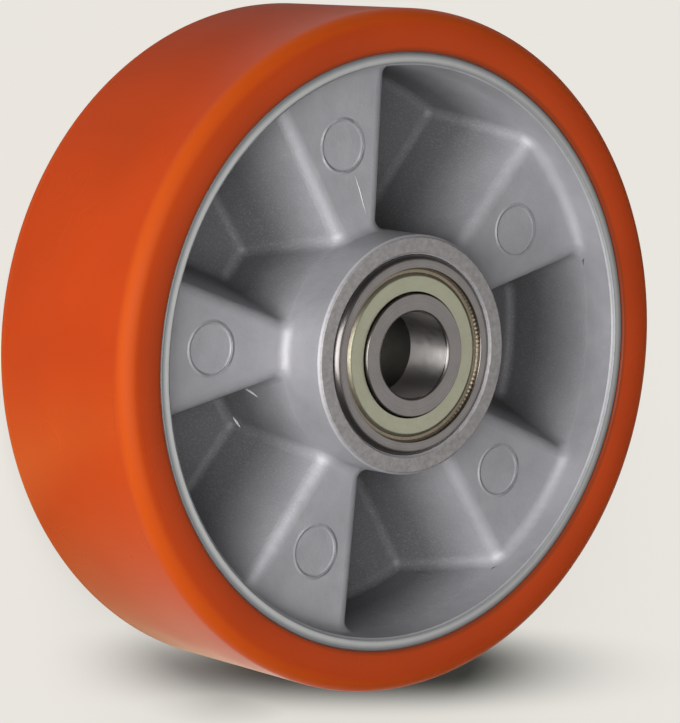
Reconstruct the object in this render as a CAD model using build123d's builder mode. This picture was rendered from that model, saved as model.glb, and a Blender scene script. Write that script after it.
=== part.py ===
from build123d import *
import os
from math import asin, cos, degrees, hypot, radians, sin, tan

# Heavy duty polyurethane wheel, 160 mm across, on two shielded ball bearings
# for a 20 mm axle. All sizes are in millimetres.
# The origin is the wheel's centre. +Z is the spin axis, towards the front face.
# The wheel lies on the rear end of its bearings, front face up.

# Tread
wheel_diameter = 160.0
tread_width = 51.0
tread_thickness = 10.0
tread_edge_radius = 3.5
tread_root_chamfer = 0.4

# Rim of the wheel centre
rim_outer_diameter = wheel_diameter - 2 * tread_thickness
rim_thickness = 3.0
rim_mouth_diameter = rim_outer_diameter - 2 * rim_thickness
rim_width = 50.0
rim_chamfer = 0.4
rim_mouth_chamfer = 0.7

# Hub of the wheel centre
hub_diameter = 56.0
hub_width = 57.0
hub_edge_chamfer = 0.7
hub_through_diameter = 41.0
seat_chamfer = 0.6
casting_draft = 1.0

# Web: five front plates and five rear plates, joined by leaning walls
spoke_count = 5
first_spoke_angle = 31.0
web_depth = 32.6
plate_thickness = 4.5
plate_width_at_hub = 11.3
plate_width_at_rim = 33.0
web_wall = 2.6
plate_edge_radius = 3.4
root_fillet = 2.5

# Ejector pin marks on the front plates
mark_diameter = 12.0
mark_circle_radius = 49.6
mark_depth = 0.3

# Deep groove ball bearing, two pieces alike
bearing_bore = 20.0
bearing_outer_diameter = 47.0
bearing_width = 14.0
bearing_proud = 0.5
ball_diameter = 7.938
ball_count = 8
ball_circle_diameter = 33.5
ball_running_gap = 0.05
raceway_ratio = 0.52
inner_shoulder_diameter = 28.8
outer_shoulder_diameter = 38.2
ring_chamfer = 1.0

# Shields, stepped down near their edge and crimped into the outer ring
shield_thickness = 0.4
shield_recess = 0.8
shield_flat_diameter = 36.2
shield_step_diameter = 38.8
shield_seat_diameter = 40.6
shield_bore_gap = 0.35
crimp_depth = 0.4

# Riveted ball cage
cage_thickness = 0.5
cage_inner_diameter = 30.4
cage_outer_diameter = 36.6
cage_pocket_gap = 0.15
cage_pocket_sides = 8
rivet_diameter = 1.4
rivet_stand = 0.2
rivet_hole_gap = 0.02

# Spacer tube between the inner rings
spacer_outer_diameter = 26.0
spacer_bore = 21.0

# Places that follow from the sizes above
spoke_pitch = 360.0 / spoke_count
ball_pitch = 360.0 / ball_count
hub_radius = hub_diameter / 2
hub_face = hub_width / 2
rim_face = rim_width / 2
rim_radius = rim_mouth_diameter / 2
plate_face = web_depth / 2
pocket_floor = plate_thickness - plate_face
seat_radius = bearing_outer_diameter / 2
bearing_face = hub_face + bearing_proud
seat_shoulder = bearing_face - bearing_width
draft_slope = tan(radians(casting_draft))
spoke_end_radius = (rim_outer_diameter + rim_mouth_diameter) / 4
cut_margin = 3.0
on_surface = 0.05
same_height = 0.01


def turned(radius_height_points):
    """A closed section of radius and height, drawn on the plane through the axis."""
    with BuildSketch(Plane.XZ) as section:
        with BuildLine():
            Polyline(*radius_height_points, close=True)
        make_face()
    return section.sketch


def hub_radius_at(height):
    """Hub radius with draft, widest at the pocket floor."""
    return hub_radius + (hub_face - height) * draft_slope


def rim_radius_at(height):
    """Inner radius of the rim with draft, narrowest at the pocket floor."""
    return rim_radius - (rim_face - height) * draft_slope


# Web geometry, as angles from a spoke's centre line
hub_circle = hub_radius_at(plate_face)
rim_circle = rim_radius_at(plate_face)
floor_share = (plate_face - pocket_floor) / web_depth


def top_angle(circle, width):
    """Angle of a front plate's edge on a circle about the axis."""
    return degrees(asin(width / 2 / circle))


def foot_angle(circle, width):
    """Angle of a wall's foot: the wall leans from its plate to the next rear plate."""
    top = top_angle(circle, width)
    next_rear_edge = spoke_pitch / 2 - top + degrees(web_wall / circle)
    return top + floor_share * (next_rear_edge - top)


def spoke_section(angle_at_hub, angle_at_rim):
    """Four corners of a spoke at one height, run on into the hub and the rim."""
    near = (hub_circle * cos(radians(angle_at_hub)), hub_circle * sin(radians(angle_at_hub)))
    far = (rim_circle * cos(radians(angle_at_rim)), rim_circle * sin(radians(angle_at_rim)))
    slope = (far[1] - near[1]) / (far[0] - near[0])
    start = near[0] - cut_margin
    end = rim_outer_diameter / 2
    start_half = near[1] + slope * (start - near[0])
    end_half = near[1] + slope * (end - near[0])
    return [(start, -start_half), (end, -end_half), (end, end_half), (start, start_half)]


# One spoke: a front plate with its two leaning walls, edges rounded
with BuildPart() as spoke:
    with BuildSketch(Plane.XY.offset(pocket_floor)):
        Polygon(
            *spoke_section(
                foot_angle(hub_circle, plate_width_at_hub),
                foot_angle(rim_circle, plate_width_at_rim),
            ),
            align=None,
        )
    with BuildSketch(Plane.XY.offset(plate_face)):
        Polygon(
            *spoke_section(
                top_angle(hub_circle, plate_width_at_hub),
                top_angle(rim_circle, plate_width_at_rim),
            ),
            align=None,
        )
    loft(ruled=True)
    top_edges = spoke.edges().group_by(Axis.Z)[-1]
    fillet(top_edges.sort_by(SortBy.LENGTH)[-2:], plate_edge_radius)
    with BuildSketch(Plane.XY.offset(pocket_floor)):
        Circle(spoke_end_radius)
    extrude(amount=web_depth, mode=Mode.INTERSECT)


def meets_hub_or_rim(edge):
    """True for an edge that lies on the hub's or the rim's drafted surface."""
    middle = edge.center()
    radius = hypot(middle.X, middle.Y)
    from_hub = abs(radius - hub_radius_at(middle.Z))
    from_rim = abs(radius - rim_radius_at(middle.Z))
    return min(from_hub, from_rim) < on_surface


# The form that one half of the casting die gives: hub, rim, pocket floors and spokes
with BuildPart() as die_form:
    form_top = hub_face + cut_margin
    form_radius = rim_outer_diameter / 2 + cut_margin
    revolve(
        turned(
            [
                (0, -form_top),
                (form_radius, -form_top),
                (form_radius, form_top),
                (rim_radius_at(form_top), form_top),
                (rim_radius_at(pocket_floor), pocket_floor),
                (hub_radius_at(pocket_floor), pocket_floor),
                (hub_radius_at(form_top), form_top),
                (0, form_top),
            ]
        ),
        axis=Axis.Z,
    )
    with PolarLocations(0, spoke_count, first_spoke_angle):
        add(spoke.part)
    near_web = die_form.edges().filter_by(
        lambda edge: pocket_floor - same_height < edge.center().Z < plate_face + same_height
    )
    floor_edges = near_web.filter_by(lambda edge: edge.center().Z < pocket_floor + same_height)
    wall_edges = near_web.filter_by(GeomType.LINE, reverse=True).filter_by(meets_hub_or_rim)
    fillet(set(floor_edges + wall_edges), root_fillet)

# The other die half gives the same form, turned over, with its plates in between
rear_form = mirror(die_form.part, about=Plane.XY).rotate(Axis.Z, spoke_pitch / 2)

# Wheel centre: one aluminium die casting, turned at its rim, faces and bearing seats
with BuildPart() as wheel_centre:
    add(die_form.part)
    add(rear_form, mode=Mode.INTERSECT)
    bore_side = [
        (hub_through_diameter / 2, -seat_shoulder),
        (seat_radius, -seat_shoulder),
        (seat_radius, seat_chamfer - hub_face),
        (seat_radius + seat_chamfer, -hub_face),
    ]
    hub_edge = hub_radius - hub_edge_chamfer
    face_side = [
        (hub_edge, -hub_face),
        (hub_edge + hub_face - rim_face, -rim_face),
        (rim_radius - rim_mouth_chamfer, 2 * rim_mouth_chamfer - rim_face),
        (rim_radius + rim_mouth_chamfer, -rim_face),
        (rim_outer_diameter / 2 - rim_chamfer, -rim_face),
        (rim_outer_diameter / 2, rim_chamfer - rim_face),
    ]
    lower_outline = bore_side + face_side
    upper_outline = [(radius, -height) for radius, height in reversed(lower_outline)]
    revolve(turned(lower_outline + upper_outline), axis=Axis.Z, mode=Mode.INTERSECT)
    with BuildSketch(Plane.XY.offset(plate_face - mark_depth)):
        with PolarLocations(mark_circle_radius, spoke_count, first_spoke_angle):
            Circle(mark_diameter / 2)
    extrude(amount=2 * mark_depth, mode=Mode.SUBTRACT)

# Polyurethane tread, cast round the rim
with BuildPart() as tread:
    with BuildSketch(Plane.XZ) as tread_section:
        with Locations(((wheel_diameter + rim_outer_diameter) / 4, 0)):
            Rectangle((wheel_diameter - rim_outer_diameter) / 2, tread_width)
        outer_corners = tread_section.vertices().group_by(Axis.X)[-1]
        fillet(outer_corners, tread_edge_radius)
        inner_corners = tread_section.vertices().group_by(Axis.X)[0]
        chamfer(inner_corners, tread_root_chamfer)
    revolve(axis=Axis.Z)

# Ball bearing, made about its own centre, outside up
pitch_radius = ball_circle_diameter / 2
ball_radius = ball_diameter / 2
half_bearing = bearing_width / 2
groove_radius = raceway_ratio * ball_diameter
groove_offset = groove_radius - ball_radius - ball_running_gap
inner_shoulder = inner_shoulder_diameter / 2
outer_shoulder = outer_shoulder_diameter / 2
shield_bore = inner_shoulder + shield_bore_gap
shield_seat = shield_seat_diameter / 2
shield_flat_edge = shield_flat_diameter / 2
shield_step_edge = shield_step_diameter / 2
shield_face = half_bearing - shield_recess
shield_back = shield_face - shield_thickness
lip_end = shield_back - shield_thickness
crimped_edge = [
    (shield_seat, shield_face),
    (shield_seat + crimp_depth, shield_back),
    (shield_seat, lip_end),
]
shield_pocket = [
    (shield_seat, half_bearing + cut_margin),
    *crimped_edge,
    (outer_shoulder - cut_margin, lip_end),
    (outer_shoulder - cut_margin, half_bearing + cut_margin),
]

with BuildPart() as outer_ring:
    with BuildSketch(Plane.XZ) as outer_ring_section:
        with Locations(((outer_shoulder + seat_radius) / 2, 0)):
            Rectangle(seat_radius - outer_shoulder, bearing_width)
        chamfer(outer_ring_section.vertices().group_by(Axis.X)[-1], ring_chamfer)
        with Locations((pitch_radius - groove_offset, 0)):
            Circle(groove_radius, mode=Mode.SUBTRACT)
    revolve(axis=Axis.Z)
    for side in (1, -1):
        pocket = [(radius, side * height) for radius, height in shield_pocket]
        revolve(turned(pocket), axis=Axis.Z, mode=Mode.SUBTRACT)

with BuildPart() as inner_ring:
    with BuildSketch(Plane.XZ) as inner_ring_section:
        with Locations(((bearing_bore / 2 + inner_shoulder) / 2, 0)):
            Rectangle(inner_shoulder - bearing_bore / 2, bearing_width)
        chamfer(inner_ring_section.vertices().group_by(Axis.X)[0], ring_chamfer)
        with Locations((pitch_radius + groove_offset, 0)):
            Circle(groove_radius, mode=Mode.SUBTRACT)
    revolve(axis=Axis.Z)

with BuildPart() as shield:
    shield_top = [
        (shield_bore, shield_face),
        (shield_flat_edge, shield_face),
        (shield_step_edge, shield_back),
        (shield_seat - shield_thickness, shield_back),
    ]
    shield_underside = [
        (shield_step_edge - shield_thickness / 2, lip_end),
        (shield_flat_edge - shield_thickness / 2, shield_back),
        (shield_bore, shield_back),
    ]
    revolve(turned(shield_top + crimped_edge + shield_underside), axis=Axis.Z)

with BuildPart() as ball:
    Sphere(ball_radius)


def pocket_form(clear_radius):
    """An eight-sided sleeve round a ball, its length along the bearing's radius."""
    with BuildPart() as form:
        with BuildSketch(Plane.YZ.offset(pitch_radius)):
            RegularPolygon(
                clear_radius,
                cage_pocket_sides,
                major_radius=False,
                rotation=180 / cage_pocket_sides,
            )
        extrude(amount=ball_radius + cut_margin, both=True)
    return form.part


# Cage half: a flat ring, pressed out over each ball and riveted between them
with BuildPart() as cage_half:
    pocket_radius = ball_radius + cage_pocket_gap
    with BuildSketch():
        Circle(cage_outer_diameter / 2)
    extrude(amount=cage_thickness)
    with PolarLocations(0, ball_count):
        add(pocket_form(pocket_radius + cage_thickness))
    with BuildSketch():
        Circle(cage_outer_diameter / 2)
        Circle(cage_inner_diameter / 2, mode=Mode.SUBTRACT)
    extrude(amount=2 * pocket_radius, mode=Mode.INTERSECT)
    with PolarLocations(0, ball_count):
        add(pocket_form(pocket_radius), mode=Mode.SUBTRACT)
    with PolarLocations(pitch_radius, ball_count, ball_pitch / 2):
        Hole(rivet_diameter / 2 + rivet_hole_gap)

# Rivets, set nearly flush through both cage halves
with BuildPart() as rivets:
    with PolarLocations(pitch_radius, ball_count, ball_pitch / 2):
        Cylinder(rivet_diameter / 2, 2 * (cage_thickness + rivet_stand))

# Spacer tube, clamped between the two inner rings
with BuildPart() as spacer_tube:
    with BuildSketch(Plane.XY.offset(-seat_shoulder)):
        Circle(spacer_outer_diameter / 2)
        Circle(spacer_bore / 2, mode=Mode.SUBTRACT)
    extrude(amount=2 * seat_shoulder)

# Every piece in its place, by name
pieces = {
    "tread": tread.part,
    "wheel_centre": wheel_centre.part,
    "spacer_tube": spacer_tube.part,
}
bearing_height = bearing_face - half_bearing
turned_over = Rot(180, 0, 0)
places = {
    "front": Pos(0, 0, bearing_height),
    "rear": Pos(0, 0, -bearing_height) * turned_over,
}
for end, place in places.items():
    pieces[f"{end}_outer_ring"] = place * outer_ring.part
    pieces[f"{end}_inner_ring"] = place * inner_ring.part
    pieces[f"{end}_outside_shield"] = place * shield.part
    pieces[f"{end}_inside_shield"] = place * turned_over * shield.part
    pieces[f"{end}_cage_outside_half"] = place * cage_half.part
    pieces[f"{end}_cage_inside_half"] = place * turned_over * cage_half.part
    pieces[f"{end}_cage_rivets"] = place * rivets.part
    for number in range(ball_count):
        around = Rot(0, 0, number * ball_pitch)
        pieces[f"{end}_ball_{number + 1}"] = place * around * Pos(pitch_radius, 0, 0) * ball.part

os.makedirs("parts", exist_ok=True)
for name, piece in pieces.items():
    piece.label = name
    export_step(piece, f"parts/{name}.step")
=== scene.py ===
import bpy
from math import cos, pi, radians, sin, tan
from mathutils import Matrix, Quaternion, Vector


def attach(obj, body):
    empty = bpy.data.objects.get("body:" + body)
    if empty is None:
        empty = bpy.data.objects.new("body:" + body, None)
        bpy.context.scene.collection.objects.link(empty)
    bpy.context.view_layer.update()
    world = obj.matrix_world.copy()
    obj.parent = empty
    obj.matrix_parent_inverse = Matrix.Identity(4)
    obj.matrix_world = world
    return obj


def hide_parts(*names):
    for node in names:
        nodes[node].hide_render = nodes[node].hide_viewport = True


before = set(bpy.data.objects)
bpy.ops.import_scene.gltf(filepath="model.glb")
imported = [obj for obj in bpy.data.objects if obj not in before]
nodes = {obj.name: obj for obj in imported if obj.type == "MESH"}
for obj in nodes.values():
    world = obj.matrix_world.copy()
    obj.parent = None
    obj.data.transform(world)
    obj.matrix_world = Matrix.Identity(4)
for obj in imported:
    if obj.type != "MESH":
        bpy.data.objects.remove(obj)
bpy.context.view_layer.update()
bearing_ends = ("front", "rear")
mm = 0.001

# Sizes of the wheel, from its axle and from its middle
tread_radius = 80 * mm
tread_half_width = 25.5 * mm
tread_edge = 3.5 * mm
tread_root = 0.4 * mm
rim_radius = 70 * mm
rim_mouth = 67 * mm
rim_face = 25 * mm
hub_face = 28.5 * mm
plate_face = 16.3 * mm
bearing_face = 29 * mm
spoke_count = 5
first_spoke = radians(31)
mark_place = 49.6 * mm
mark_radius = 6 * mm

# Sizes of a bearing in millimetres, from the axle and from the bearing's middle
bearing_bore = 10
inner_shoulder = 14.4
shield_bore = 14.75
outer_shoulder = 19.1
shield_seat = 20.3
bearing_outside = 23.5
half_bearing = 7
shield_outside = 6.2
shield_inside = 5.8
seat_groove = 0.4
seat_floor = shield_inside - seat_groove
race_radius = 4.128
race_reach = 53.4
inner_race_centre = 16.859
outer_race_centre = 16.641
balls_per_bearing = 8


# Mesh helpers
def arc(centre, radius, start, end, steps):
    """Points of an arc in the radius and height plane, angles in degrees."""
    points = []
    for step in range(steps + 1):
        angle = radians(start + (end - start) * step / steps)
        points.append((centre[0] + radius * cos(angle), centre[1] + radius * sin(angle)))
    return points


def rounded(corners, steps=5):
    """A closed outline of (radius, height, rounding) corners, each corner rounded by an arc."""
    outline = []
    for index, (x, y, rounding) in enumerate(corners):
        here = Vector((x, y))
        if rounding == 0:
            outline.append((x, y))
            continue
        before = Vector(corners[index - 1][:2]) - here
        after = Vector(corners[(index + 1) % len(corners)][:2]) - here
        before.normalize()
        after.normalize()
        half = before.angle(after) / 2
        reach = rounding / tan(half)
        centre = here + (before + after).normalized() * (rounding / sin(half))
        first = here + before * reach - centre
        last = here + after * reach - centre
        sweep = first.angle_signed(last)
        for step in range(steps + 1):
            turn = Matrix.Rotation(-sweep * step / steps, 2)
            outline.append(tuple(centre + turn @ first))
    return outline


def smooth_object(name, vertices, faces):
    """A smooth-shaded object in the scene."""
    mesh = bpy.data.meshes.new(name)
    mesh.from_pydata(vertices, [], faces)
    mesh.update()
    for face in mesh.polygons:
        face.use_smooth = True
    thing = bpy.data.objects.new(name, mesh)
    bpy.context.scene.collection.objects.link(thing)
    return thing


def lathe(name, outline, segments):
    """A ring turned from a closed outline of (radius, height) points."""
    vertices = []
    faces = []
    count = len(outline)
    for segment in range(segments):
        angle = 2 * pi * segment / segments
        for radius, height in outline:
            vertices.append((radius * cos(angle), radius * sin(angle), height))
    for segment in range(segments):
        here = segment * count
        there = (segment + 1) % segments * count
        for point in range(count):
            following = (point + 1) % count
            faces.append((here + point, there + point, there + following, here + following))
    return smooth_object(name, vertices, faces)


# Shader helpers
class Shader:
    """A node material, with short calls for the nodes that the finishes here use."""

    def __init__(self, name, **constants):
        self.material = bpy.data.materials.new(name)
        self.material.use_nodes = True
        self.tree = self.material.node_tree
        self.surface = self.tree.nodes["Principled BSDF"]
        for socket, value in constants.items():
            self.surface.inputs[socket.replace("_", " ")].default_value = value
        coordinates = self.add("ShaderNodeTexCoord")
        self.place = coordinates.outputs["Object"]
        self.normal = coordinates.outputs["Normal"]
        flat = self.vector_math("MULTIPLY", self.place, (1, 1, 0)).outputs["Vector"]
        self.radius = self.vector_math("LENGTH", flat).outputs["Value"]
        self.y = self.part(self.place, "Y")
        self.z = self.part(self.place, "Z")
        self.height = self.math("ABSOLUTE", self.z)
        self.front = self.math("GREATER_THAN", self.z, 0)
        self.angle = self.math("ARCTAN2", self.y, self.part(self.place, "X"))

    def add(self, kind, **settings):
        node = self.tree.nodes.new(kind)
        for name, value in settings.items():
            setattr(node, name, value)
        return node

    def link(self, source, target):
        """Join two sockets, or set the target where the source is a plain value."""
        if hasattr(source, "is_output"):
            self.tree.links.new(source, target)
        else:
            target.default_value = source

    def part(self, vector, axis):
        """One coordinate of a vector."""
        node = self.add("ShaderNodeSeparateXYZ")
        self.link(vector, node.inputs[0])
        return node.outputs[axis]

    def math(self, operation, first, second=0.0):
        node = self.add("ShaderNodeMath", operation=operation)
        self.link(first, node.inputs[0])
        self.link(second, node.inputs[1])
        return node.outputs[0]

    def vector_math(self, operation, first, second=(0, 0, 0)):
        node = self.add("ShaderNodeVectorMath", operation=operation)
        self.link(first, node.inputs[0])
        self.link(second, node.inputs[1])
        return node

    def noise(self, size, detail=3.0, roughness=0.55):
        """Noise whose blotches are about size metres across."""
        node = self.add("ShaderNodeTexNoise")
        self.link(self.place, node.inputs["Vector"])
        node.inputs["Scale"].default_value = 1 / size
        node.inputs["Detail"].default_value = detail
        node.inputs["Roughness"].default_value = roughness
        return node.outputs["Fac"]

    def rings(self, pitch):
        """Noise that changes only with the distance from the axle, as a turning tool leaves it."""
        node = self.add("ShaderNodeTexNoise", noise_dimensions="1D")
        self.link(self.radius, node.inputs["W"])
        node.inputs["Scale"].default_value = 1 / pitch
        node.inputs["Detail"].default_value = 2.0
        return node.outputs["Fac"]

    def range(self, value, low, high, to_low=0.0, to_high=1.0, way="LINEAR"):
        """The value's range from low to high, stretched to another range."""
        node = self.add("ShaderNodeMapRange", interpolation_type=way)
        self.link(value, node.inputs["Value"])
        node.inputs["From Min"].default_value = low
        node.inputs["From Max"].default_value = high
        node.inputs["To Min"].default_value = to_low
        node.inputs["To Max"].default_value = to_high
        return node.outputs["Result"]

    def spread(self, noise, low=0.0, high=1.0):
        """A noise whose usual values fill the range from low to high."""
        return self.range(noise, 0.3, 0.7, low, high)

    def blend(self, share, first, second):
        """A colour between two others."""
        node = self.add("ShaderNodeMix", data_type="RGBA")
        self.link(share, node.inputs["Factor"])
        self.link(first, node.inputs["A"])
        self.link(second, node.inputs["B"])
        return node.outputs["Result"]

    def glow(self, colour, strength=1.0):
        """A surface that shows its colour in any light."""
        node = self.add("ShaderNodeEmission")
        self.link(colour, node.inputs["Color"])
        node.inputs["Strength"].default_value = strength
        return node.outputs[0]

    def mix(self, share, first, second):
        """A surface between two others."""
        node = self.add("ShaderNodeMixShader")
        self.link(share, node.inputs["Fac"])
        self.link(first, node.inputs[1])
        self.link(second, node.inputs[2])
        return node.outputs[0]

    def colour(self, value):
        self.link(value, self.surface.inputs["Base Color"])

    def roughness(self, value):
        self.link(value, self.surface.inputs["Roughness"])

    def bump(self, *heights):
        """Bumps, each a pair of a height value and its depth in metres."""
        normal = None
        for value, depth in heights:
            node = self.add("ShaderNodeBump")
            node.inputs["Distance"].default_value = depth
            self.link(value, node.inputs["Height"])
            if normal:
                self.link(normal, node.inputs["Normal"])
            normal = node.outputs["Normal"]
        self.link(normal, self.surface.inputs["Normal"])


def rgb(red, green, blue):
    """A colour from its values on screen, 0 to 255."""
    linear = []
    for value in (red, green, blue):
        share = value / 255
        linear.append(share / 12.92 if share < 0.04045 else ((share + 0.055) / 1.055) ** 2.4)
    return (*linear, 1)


def give(thing, shader):
    thing.data.materials.clear()
    thing.data.materials.append(shader.material)


# Finishes
def orange_polyurethane():
    """Cast polyurethane, with a painted highlight that brightens the tread's edges, its side and face
    coloured apart as painted light, and stained where it meets the rim.
    """
    urethane = Shader("orange_polyurethane", Specular_IOR_Level=0.14)
    cloud = urethane.spread(urethane.noise(30 * mm, detail=1))
    # The side and the face are one urethane: the orange is its own, and the difference between the two
    # colours is painted light, set to how each is lit.
    side_colour = urethane.blend(cloud, rgb(204, 70, 15), rgb(196, 67, 15))
    face_colour = urethane.blend(cloud, rgb(209, 78, 32), rgb(197, 73, 30))
    bond = urethane.range(urethane.radius, rim_radius + 0.2 * mm, rim_radius + 1.2 * mm, 0.6, 0.0)
    face_colour = urethane.blend(bond, face_colour, rgb(112, 64, 44))
    # The tread's rounded edges: the side's colour is brightened there as a painted highlight, and the
    # surface is made rougher.
    at_edge = urethane.math(
        "MULTIPLY",
        urethane.range(urethane.height, 21.2 * mm, 23.5 * mm),
        urethane.range(urethane.radius, 76.2 * mm, 77.6 * mm),
    )
    side_colour = urethane.blend(at_edge, side_colour, rgb(208, 82, 14))
    towards_side = urethane.range(urethane.radius, 73.5 * mm, 79.5 * mm)
    urethane.colour(urethane.blend(towards_side, face_colour, side_colour))
    gloss = urethane.spread(urethane.noise(20 * mm, detail=1), 0.26, 0.34)
    urethane.roughness(urethane.math("ADD", gloss, urethane.math("MULTIPLY", at_edge, 0.25)))
    urethane.bump(
        (urethane.noise(20 * mm, detail=1), 0.12 * mm),
        (urethane.noise(3 * mm, detail=1), 0.006 * mm),
    )
    return urethane


def lip_of_marks(casting):
    """The raised lip round each ejector mark on the front plates, worn in places."""
    spoke_pitch = 2 * pi / spoke_count
    from_spoke = casting.math("ADD", casting.angle, spoke_pitch / 2 - first_spoke)
    from_spoke = casting.math("FLOORED_MODULO", from_spoke, spoke_pitch)
    from_spoke = casting.math("SUBTRACT", from_spoke, spoke_pitch / 2)
    along = casting.math("MULTIPLY", casting.radius, casting.math("COSINE", from_spoke))
    along = casting.math("SUBTRACT", along, mark_place)
    across = casting.math("MULTIPLY", casting.radius, casting.math("SINE", from_spoke))
    squares = casting.math("ADD", casting.math("POWER", along, 2.0), casting.math("POWER", across, 2.0))
    from_lip = casting.math("SUBTRACT", casting.math("SQRT", squares), mark_radius + 0.1 * mm)
    lip = casting.range(casting.math("ABSOLUTE", from_lip), 0.0, 0.6 * mm, 1.0, 0.0)
    worn = casting.range(casting.noise(6 * mm, detail=1), 0.4, 0.6, 0.3, 1.0)
    return casting.math("MULTIPLY", lip, casting.math("MULTIPLY", worn, casting.front))


def die_cast_aluminium():
    """Cast aluminium, with painted shade darkening it down in the pockets, a painted highlight band on
    the rim's face, and turned faces on the hub and the rim.
    """
    casting = Shader("die_cast_aluminium", Metallic=0.4, Specular_IOR_Level=0.5)
    on_hub_face = casting.math("GREATER_THAN", casting.height, hub_face - 0.35 * mm)
    on_rim_face = casting.math(
        "MULTIPLY",
        casting.math("GREATER_THAN", casting.height, rim_face - 0.4 * mm),
        casting.math("GREATER_THAN", casting.radius, rim_mouth - 0.8 * mm),
    )

    blotch = casting.spread(casting.noise(12 * mm, detail=4))
    cast_colour = casting.blend(blotch, rgb(160, 159, 163), rgb(174, 173, 177))
    # Painted shade: the colour darkens the further a surface lies below the face of its plate, down
    # into the pockets.
    side = casting.math("SIGN", casting.part(casting.normal, "Z"))
    depth = casting.math("SUBTRACT", plate_face, casting.math("MULTIPLY", casting.z, side))
    painted_pocket_shade = casting.range(depth, 1 * mm, 19 * mm)
    cast_colour = casting.blend(painted_pocket_shade, cast_colour, rgb(110, 110, 112))
    grain = casting.noise(0.45 * mm, detail=3, roughness=0.65)
    grain_share = casting.range(casting.height, 15.5 * mm, 16.2 * mm, 1.0, 0.3)
    fleck = casting.math("MULTIPLY", casting.range(grain, 0.5, 0.72, 0, 0.26), grain_share)
    cast_colour = casting.blend(fleck, cast_colour, rgb(196, 193, 195))

    speckle = casting.range(casting.noise(1.2 * mm, detail=5, roughness=0.7), 0.35, 0.68)
    hub_colour = casting.blend(speckle, rgb(140, 137, 136), rgb(164, 160, 159))
    rim_colour = casting.blend(casting.rings(0.6 * mm), rgb(114, 118, 120), rgb(140, 143, 144))
    # Painted highlight: a pale band round the rim's turned face, 68.3 mm from the axle.
    from_band = casting.math("ABSOLUTE", casting.math("SUBTRACT", casting.radius, 68.3 * mm))
    painted_rim_highlight = casting.range(from_band, 0.2 * mm, 1.1 * mm, 0.65, 0.0)
    rim_colour = casting.blend(painted_rim_highlight, rim_colour, rgb(208, 207, 205))

    face_colour = casting.blend(on_rim_face, cast_colour, rim_colour)
    casting.colour(casting.blend(on_hub_face, face_colour, hub_colour))
    casting.roughness(casting.spread(grain, 0.56, 0.68))
    casting.bump(
        (lip_of_marks(casting), 0.42 * mm),
        (casting.math("MULTIPLY", grain, grain_share), 0.12 * mm),
        (casting.noise(5 * mm, detail=3), 0.2 * mm),
    )
    return casting


def ground_bearing_steel():
    """Ring faces with the marks of the grinding wheel round them."""
    steel = Shader("ground_bearing_steel", Metallic=1.0, Anisotropic=0.5, Anisotropic_Rotation=0.25)
    steel.colour(steel.blend(steel.noise(4 * mm), rgb(128, 123, 121), rgb(146, 141, 138)))
    steel.roughness(steel.spread(steel.rings(0.3 * mm), 0.24, 0.36))
    steel.bump((steel.rings(0.12 * mm), 0.004 * mm))
    return steel


def passivated_shield():
    """Yellow-passivated sheet, browner and notched where it is crimped into the ring."""
    notch_count = 120
    crimp_radius = 19.2 * mm
    zinc = Shader("passivated_shield", Metallic=0.85)
    flat_zinc = zinc.blend(zinc.noise(3 * mm), rgb(165, 164, 142), rgb(177, 176, 155))
    rolled_zinc = zinc.blend(zinc.noise(1 * mm), rgb(136, 124, 106), rgb(160, 148, 128))
    towards_crimp = zinc.range(zinc.radius, crimp_radius - 0.8 * mm, crimp_radius)
    zinc.colour(zinc.blend(towards_crimp, flat_zinc, rolled_zinc))
    zinc.roughness(zinc.spread(zinc.noise(0.8 * mm), 0.3, 0.42))
    notches = zinc.math("SINE", zinc.math("MULTIPLY", zinc.angle, notch_count))
    at_crimp = zinc.math("GREATER_THAN", zinc.radius, crimp_radius)
    uneven = zinc.math("MULTIPLY", at_crimp, zinc.noise(3 * mm))
    zinc.bump(
        (zinc.math("MULTIPLY", notches, uneven), 0.04 * mm),
        (zinc.rings(0.6 * mm), 0.006 * mm),
    )
    return zinc


def plain_metal(name, dark, light, blotch, gloss, gloss_blotch, grain, grain_depth, **constants):
    """A metal that varies by noise: its colour and gloss in blotches, its surface in grains."""
    metal = Shader(name, **constants)
    metal.colour(metal.blend(metal.noise(blotch), dark, light))
    metal.roughness(metal.spread(metal.noise(gloss_blotch), *gloss))
    metal.bump((metal.noise(grain), grain_depth))
    return metal


urethane = orange_polyurethane()
casting = die_cast_aluminium()
ring_steel = ground_bearing_steel()
shield_zinc = passivated_shield()
torn_flash = plain_metal(
    "torn_flash",
    rgb(178, 176, 178),
    rgb(210, 208, 210),
    blotch=0.6 * mm,
    gloss=(0.3, 0.5),
    gloss_blotch=0.4 * mm,
    grain=0.3 * mm,
    grain_depth=0.03 * mm,
    Metallic=0.2,
)
bore_steel = plain_metal(
    "ground_bore",
    rgb(176, 172, 170),
    rgb(192, 188, 186),
    blotch=4 * mm,
    gloss=(0.44, 0.56),
    gloss_blotch=2 * mm,
    grain=1.2 * mm,
    grain_depth=0.004 * mm,
    Metallic=1.0,
    Anisotropic=0.9,
    Anisotropic_Rotation=0.25,
)
pressed_steel = plain_metal(
    "pressed_cage_steel",
    rgb(150, 148, 144),
    rgb(170, 168, 164),
    blotch=2 * mm,
    gloss=(0.3, 0.42),
    gloss_blotch=0.8 * mm,
    grain=0.6 * mm,
    grain_depth=0.008 * mm,
    Metallic=1.0,
)
ball_steel = plain_metal(
    "polished_balls",
    rgb(200, 200, 202),
    rgb(210, 210, 212),
    blotch=3 * mm,
    gloss=(0.06, 0.1),
    gloss_blotch=1.5 * mm,
    grain=0.5 * mm,
    grain_depth=0.001 * mm,
    Metallic=1.0,
)
spacer_steel = plain_metal(
    "spacer_tube_steel",
    rgb(84, 82, 80),
    rgb(104, 102, 98),
    blotch=4 * mm,
    gloss=(0.4, 0.55),
    gloss_blotch=1 * mm,
    grain=0.8 * mm,
    grain_depth=0.01 * mm,
    Metallic=1.0,
)

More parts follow.
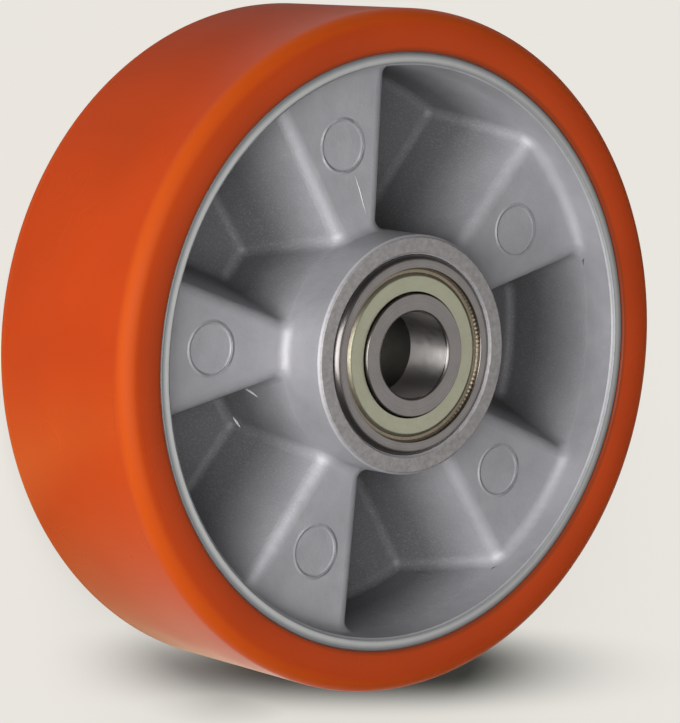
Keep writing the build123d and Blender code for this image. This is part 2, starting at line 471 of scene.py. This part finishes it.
# Tread
edge_centre = tread_radius - tread_edge
edge_level = tread_half_width - tread_edge
tread_outline = [
    (rim_radius + tread_root, -tread_half_width),
    *arc((edge_centre, -edge_level), tread_edge, -90, 0, 10),
    *arc((edge_centre, edge_level), tread_edge, 0, 90, 10),
    (rim_radius + tread_root, tread_half_width),
    (rim_radius, tread_half_width - tread_root),
    (rim_radius, tread_root - tread_half_width),
]
tread = lathe("tread_cover", tread_outline, 256)
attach(tread, "wheel")
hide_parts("tread")
give(tread, urethane)

# Wheel centre and spacer
give(nodes["wheel_centre"], casting)
give(nodes["spacer_tube"], spacer_steel)


def flash(name, points, width, height, outward):
    """A thin raised line on the casting, tapered at its ends, its sizes in millimetres."""
    profile = [(-0.5, -0.2), (-0.3, 0.7), (0.0, 1.0), (0.3, 0.7), (0.5, -0.2)]
    blunt_end = 0.35
    points = [Vector(point) for point in points]
    outward = Vector(outward).normalized()
    vertices = []
    faces = []
    for index, point in enumerate(points):
        ahead = points[min(index + 1, len(points) - 1)] - points[max(index - 1, 0)]
        sideways = ahead.cross(outward).normalized()
        taper = sin(pi * (index + blunt_end) / (len(points) - 1 + 2 * blunt_end))
        for side, rise in profile:
            offset = sideways * side * width + outward * rise * height
            vertices.append((point + offset * taper) * mm)
    count = len(profile)
    for index in range(len(points) - 1):
        for corner in range(count - 1):
            start = index * count + corner
            faces.append((start, start + 1, start + count + 1, start + count))
    line = smooth_object(name, vertices, faces)
    line.modifiers.new("smooth", "SUBSURF").render_levels = 2
    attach(line, "wheel")
    give(line, torn_flash)
    return line


# Flash that the die has left
on_spoke = [(-7.6, 41.3), (-7.0, 39.9), (-6.3, 38.2), (-5.5, 35.8), (-4.9, 34.0), (-4.3, 32.4)]
on_spoke = [(x, y, plate_face / mm) for x, y in on_spoke]
at_hub = [(-27.7, -8.5, 0.6), (-27.2, -9.0, 1.5), (-26.9, -9.4, 2.4), (-26.5, -10.2, 3.7)]
low_on_hub = [(-23.3, -16.8, -10.0), (-22.9, -17.5, -9.9), (-22.4, -18.4, -9.4), (-22.2, -19.2, -8.7)]
castings = [
    nodes["wheel_centre"],
    flash("flash_on_spoke", on_spoke, 0.32, 0.15, (0, 0, 1)),
    flash("flash_at_hub", at_hub, 0.5, 0.4, (-0.9, -0.42, 0.05)),
    flash("flash_low_on_hub", low_on_hub, 0.5, 0.4, (-0.8, -0.4, 0.3)),
]


# Bearing sections, as corners of radius, height and rounding
def race(centre, start, end):
    """The race for the balls, as corners that aren't rounded."""
    return [(radius, height, 0) for radius, height in arc((centre, 0), race_radius, start, end, 12)]


inner_ring_section = [
    (bearing_bore, -half_bearing, 0.9),
    (inner_shoulder, -half_bearing, 0.3),
    *race(inner_race_centre, 180 + race_reach, 180 - race_reach),
    (inner_shoulder, half_bearing, 0.3),
    (bearing_bore, half_bearing, 0.9),
]
outer_ring_section = [
    (shield_seat, -half_bearing, 0.2),
    (bearing_outside, -half_bearing, 1.7),
    (bearing_outside, half_bearing, 1.7),
    (shield_seat, half_bearing, 0.2),
    (shield_seat, shield_outside, 0),
    (shield_seat + seat_groove, shield_inside, 0),
    (shield_seat, seat_floor, 0),
    (outer_shoulder, seat_floor, 0.1),
    *race(outer_race_centre, race_reach, -race_reach),
    (outer_shoulder, -seat_floor, 0.1),
    (shield_seat, -seat_floor, 0),
    (shield_seat + seat_groove, -shield_inside, 0),
    (shield_seat, -shield_outside, 0),
]
shield_section = [
    (shield_bore, shield_inside, 0.08),
    (18.2, shield_inside, 0.2),
    (18.7, 5.45, 0.1),
    (shield_seat, 5.42, 0.05),
    (20.66, shield_inside, 0.1),
    (20.35, 6.1, 0.08),
    (19.9, shield_inside, 0.15),
    (19.25, 5.62, 0.2),
    (18.4, shield_outside, 0.9),
    (shield_bore, shield_outside, 0.15),
]


def bearing_piece(end, name, section, body, shader):
    """A turned bearing piece at one end of the hub, which stands for the CAD node of that name."""
    side = 1 if end == "front" else -1
    middle = bearing_face - half_bearing * mm
    outline = [(radius * mm, side * (middle + height * mm)) for radius, height in rounded(section)]
    if side < 0:
        outline.reverse()
    piece = lathe(f"{end}_{name}_turned", outline, 160)
    give(piece, shader)
    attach(piece, body)
    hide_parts(f"{end}_{name}")
    return piece


# Bearings
for end in bearing_ends:
    bearing_piece(end, "outer_ring", outer_ring_section, "wheel", ring_steel)
    inner_ring = bearing_piece(
        end, "inner_ring", inner_ring_section, "axle_rings", ring_steel
    )
    inner_ring.data.materials.append(bore_steel.material)
    for face in inner_ring.data.polygons:
        if Vector(face.center[:2]).length < (bearing_bore + 0.1) * mm:
            face.material_index = 1
    bearing_piece(end, "outside_shield", shield_section, "wheel", shield_zinc)
    give(nodes[f"{end}_inside_shield"], shield_zinc)
    for cage_piece in ("cage_outside_half", "cage_inside_half", "cage_rivets"):
        give(nodes[f"{end}_{cage_piece}"], pressed_steel)
    for number in range(1, balls_per_bearing + 1):
        give(nodes[f"{end}_ball_{number}"], ball_steel)

# Floor and its lamp, whose shadow falls away from the wheel along the lamp's direction
background = rgb(233, 230, 223)
floor_reach = 4.0
floor_level = -bearing_face
# The paper's red is cut and the floor lamp's red raised by as much, so that the orange light thrown off
# the tread barely reddens the floor.
red_share = 0.7
floor_lamp_direction = Vector((0.720, -1.127, -1))
shadow_place = (39.5 * mm, -90 * mm, floor_level)
shadow_turn = -0.149
shadow_reach = (136.5 * mm, 13.4 * mm, 1)
faint_shadow = 0.1
# Painted reflection: the floor glows in these colours only to reflected rays, laying bright and orange
# streaks on the tread.
sheen_reach = 120 * mm
sheen_stops = [
    (0.0, (0.85, 0.82, 0.76, 1)),
    (0.12, (0.8, 0.7, 0.55, 1)),
    (0.2, (0.6, 0.5, 0.3, 1)),
    (0.28, (0.4, 0.3, 0.12, 1)),
    (0.32, (0.28, 0.2, 0.08, 1)),
    (0.38, (0.9, 0.75, 0.2, 1)),
    (0.5, (0.12, 0.1, 0.08, 1)),
    (0.9, (0.12, 0.11, 0.1, 1)),
    (1.0, (0.6, 0.6, 0.58, 1)),
]


def shown_shadow(paper):
    """How much of the shadow shows: all inside an ellipse and beside the wheel, little elsewhere."""
    patch = paper.add("ShaderNodeMapping", vector_type="TEXTURE")
    patch.inputs["Location"].default_value = shadow_place
    patch.inputs["Rotation"].default_value = (0, 0, shadow_turn)
    patch.inputs["Scale"].default_value = shadow_reach
    paper.link(paper.place, patch.inputs["Vector"])
    from_patch = paper.vector_math("LENGTH", patch.outputs["Vector"]).outputs["Value"]
    in_patch = paper.range(from_patch, 0.217, 1.0, 1.0, faint_shadow, way="SMOOTHSTEP")
    away_from_lamp = floor_lamp_direction.xy.normalized().to_3d()
    away = paper.vector_math("DOT_PRODUCT", paper.place, away_from_lamp).outputs["Value"]
    beside_wheel = paper.math(
        "MULTIPLY",
        paper.range(paper.radius, tread_radius + 0.8 * mm, tread_radius + 20 * mm, 1.0, 0.0),
        paper.range(away, 30 * mm, 70 * mm),
    )
    return paper.math("MAXIMUM", in_patch, beside_wheel)


def floor_sheen(paper):
    """Painted reflection: the floor's glowing colour in reflections, in bands along Y, and the
    background's under the bore.
    """
    bands = paper.add("ShaderNodeValToRGB")
    paper.link(paper.range(paper.y, -sheen_reach, sheen_reach), bands.inputs["Fac"])
    while len(bands.color_ramp.elements) < len(sheen_stops):
        bands.color_ramp.elements.new(0.5)
    for element, (place, colour) in zip(bands.color_ramp.elements, sheen_stops):
        element.position = place
        element.color = colour
    under_bore = paper.math("LESS_THAN", paper.radius, 12 * mm)
    return paper.blend(under_bore, bands.outputs["Color"], background)


def pale_floor():
    """Paper of the background's colour, lit only where its shadow shows."""
    paper = Shader("pale_floor", Roughness=1.0, Specular_IOR_Level=0.0)
    paper.colour((red_share * background[0], background[1], background[2], 1))
    rays = paper.add("ShaderNodeLightPath").outputs
    unseen = paper.math("SUBTRACT", 1.0, rays["Is Camera Ray"])
    lit_share = paper.math("MAXIMUM", shown_shadow(paper), unseen)
    seen = paper.mix(lit_share, paper.glow(background), paper.surface.outputs[0])
    # Reflected rays see the floor glow with its painted reflection.
    reflected = paper.math("MAXIMUM", rays["Is Glossy Ray"], rays["Is Transmission Ray"])
    whole = paper.mix(reflected, seen, paper.glow(floor_sheen(paper), 1.5))
    paper.link(whole, paper.tree.nodes["Material Output"].inputs["Surface"])
    return paper


corners = [
    (-floor_reach, -floor_reach, floor_level),
    (floor_reach, -floor_reach, floor_level),
    (floor_reach, floor_reach, floor_level),
    (-floor_reach, floor_reach, floor_level),
]
floor = smooth_object("floor", corners, [(0, 1, 2, 3)])
give(floor, pale_floor())

# World
world = bpy.data.worlds.new("studio")
bpy.context.scene.world = world
world.use_nodes = True
sky = world.node_tree.nodes["Background"]
sky.inputs["Color"].default_value = (1, 0.99, 0.97, 1)
sky.inputs["Strength"].default_value = 0.06


# Lamps, flagged so that each lights only some of the pieces
def lit_pieces(name, pieces, state="INCLUDE"):
    """The pieces that a lamp lights, or with EXCLUDE those that it leaves out."""
    group = bpy.data.collections.new(name)
    for piece in pieces:
        group.objects.link(piece)
    for entry in group.collection_objects:
        entry.light_linking.link_state = state
    return group


def place_lamp(data, direction, group):
    """A lamp that shines along a direction, on the pieces of a group."""
    light = bpy.data.objects.new(data.name, data)
    light.rotation_mode = "QUATERNION"
    light.rotation_quaternion = direction.to_track_quat("-Z", "Y")
    light.light_linking.receiver_collection = group
    bpy.context.scene.collection.objects.link(light)
    return light


def softbox(name, place, size, power, group):
    """A rectangular lamp that faces the wheel's centre."""
    data = bpy.data.lights.new(name, "AREA")
    data.shape = "RECTANGLE"
    data.size, data.size_y = size
    data.energy = power
    place_lamp(data, -Vector(place), group).location = place


floor_only = lit_pieces("floor_only", [floor])
all_but_floor = lit_pieces("all_but_floor", [floor], "EXCLUDE")
off_casting = lit_pieces("off_casting", [floor, *castings], "EXCLUDE")
off_tread = lit_pieces("off_tread", [floor, tread, *castings], "EXCLUDE")
casting_only = lit_pieces("casting_only", castings)
softbox("left_softbox", (-0.36, 0.02, 0.3), (0.3, 0.6), 2.3, off_casting)
softbox("casting_softbox", (-0.47, 0, 0.37), (0.3, 0.6), 5.85, casting_only)
softbox("front_card", (0.5, -0.1, 0.62), (0.9, 0.9), 0.5, all_but_floor)
softbox("bearing_card", (0.42, -0.09, 0.53), (0.7, 0.7), 0.85, off_tread)
floor_lamp = bpy.data.lights.new("floor_lamp", "SUN")
floor_lamp.energy = pi * 1.553
floor_lamp.angle = radians(37)
floor_lamp.color = (1 / red_share, 1, 1)
place_lamp(floor_lamp, floor_lamp_direction, floor_only)

# Camera, at the photograph's angle and distance
camera_place = Vector((-509.08, 105.147, 629.119)) * mm
camera_aim = Vector((1.158, -4.576, 0)) * mm
camera_roll = radians(99.4083)
camera_data = bpy.data.cameras.new("camera")
camera_data.sensor_width = 36
camera_data.sensor_fit = "HORIZONTAL"
camera_data.lens = 181.388
camera = bpy.data.objects.new("camera", camera_data)
camera.location = camera_place
camera.rotation_mode = "QUATERNION"
upright = (camera_aim - camera_place).to_track_quat("-Z", "Y")
camera.rotation_quaternion = upright @ Quaternion((0, 0, 1), camera_roll)
bpy.context.scene.collection.objects.link(camera)
bpy.context.scene.camera = camera
bpy.context.scene.view_settings.view_transform = "Standard"
